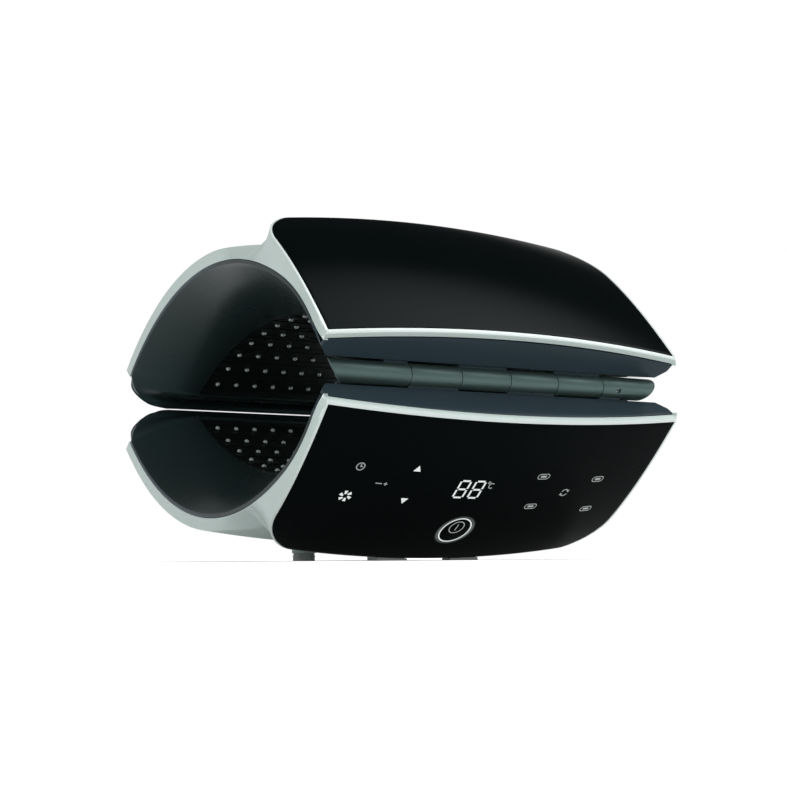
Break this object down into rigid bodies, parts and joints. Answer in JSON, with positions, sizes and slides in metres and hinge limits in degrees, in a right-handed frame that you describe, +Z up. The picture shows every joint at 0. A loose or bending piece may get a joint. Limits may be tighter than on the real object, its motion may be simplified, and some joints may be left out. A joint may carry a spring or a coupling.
{
  "type": "folding light therapy lamp",
  "caption": "Folding clamshell lamp: two mirrored arched halves hinge at the front and close round an eye-shaped tunnel lined with small lamps; touch controls on the lower front.",
  "frame": {"origin": "on the standing surface, below the middle of the outline in X and Y", "axes": "+X along the hinge to the user's right, +Y from the hinge edge to the rear edge, +Z up"},
  "size_m": [0.2728, 0.3316, 0.2156],
  "materials": {
    "silver_shell": "satin silver-grey paint on moulded plastic",
    "black_panel": "gloss black acrylic cover",
    "charcoal_tray": "blue-grey moulded plastic, semi-gloss",
    "hinge_finish": "satin grey moulded hinge barrel",
    "black_bed": "ribbed black moulding",
    "circuit_board": "coated circuit board",
    "lamp_lens": "clear resin lens",
    "black_inner": "black moulded plastic",
    "rubber": "matt rubber",
    "acetal": "natural acetal",
    "steel": "zinc-plated and ground steel"
  },
  "bodies": {
    "base": {"base_outer_shell": "silver_shell", "control_panel": "black_panel", "base_inner_tray": "charcoal_tray", "base_hinge_leaf": "hinge_finish", "base_led_bed": "black_bed", "base_led_boards": "circuit_board", "base_leds": "lamp_lens", "touch_board": "circuit_board", "display_module": "black_inner", "power_key": "black_panel", "main_board": "circuit_board", "buzzer": "black_inner", "base_fan_frame": "black_inner", "base_fan_screws": "steel", "dc_inlet": "black_inner", "front_feet": "rubber", "rear_feet": "rubber", "base_tray_screws": "steel", "base_leaf_screws": "steel", "hinge_pin": "steel", "pin_grub_screw": "steel", "friction_washers": "steel"},
    "lid": {"lid_outer_shell": "silver_shell", "lid_cover_panel": "black_panel", "lid_inner_tray": "charcoal_tray", "lid_hinge_leaf": "hinge_finish", "lid_led_bed": "black_bed", "lid_led_boards": "circuit_board", "lid_leds": "lamp_lens", "lid_driver_board": "circuit_board", "lid_fan_frame": "black_inner", "lid_fan_screws": "steel", "lid_tray_screws": "steel", "lid_leaf_screws": "steel", "friction_bushes": "acetal"},
    "base_fan": {"base_fan_impeller": "black_inner"},
    "lid_fan": {"lid_fan_impeller": "black_inner"}
  },
  "joints": [
    {"name": "lid_hinge", "type": "hinge", "parent": "base", "child": "lid", "pos_m": [0, -0.1434, 0.1084], "axis": [1, 0, 0], "range_deg": [0, 60]},
    {"name": "base_fan_spin", "type": "hinge", "parent": "base", "child": "base_fan", "pos_m": [0, 0.0068, 0.027], "axis": [0, 0, 1], "continuous": true},
    {"name": "lid_fan_spin", "type": "hinge", "parent": "lid", "child": "lid_fan", "pos_m": [0, 0.0068, 0.19], "axis": [0, 0, 1], "continuous": true}
  ]
}
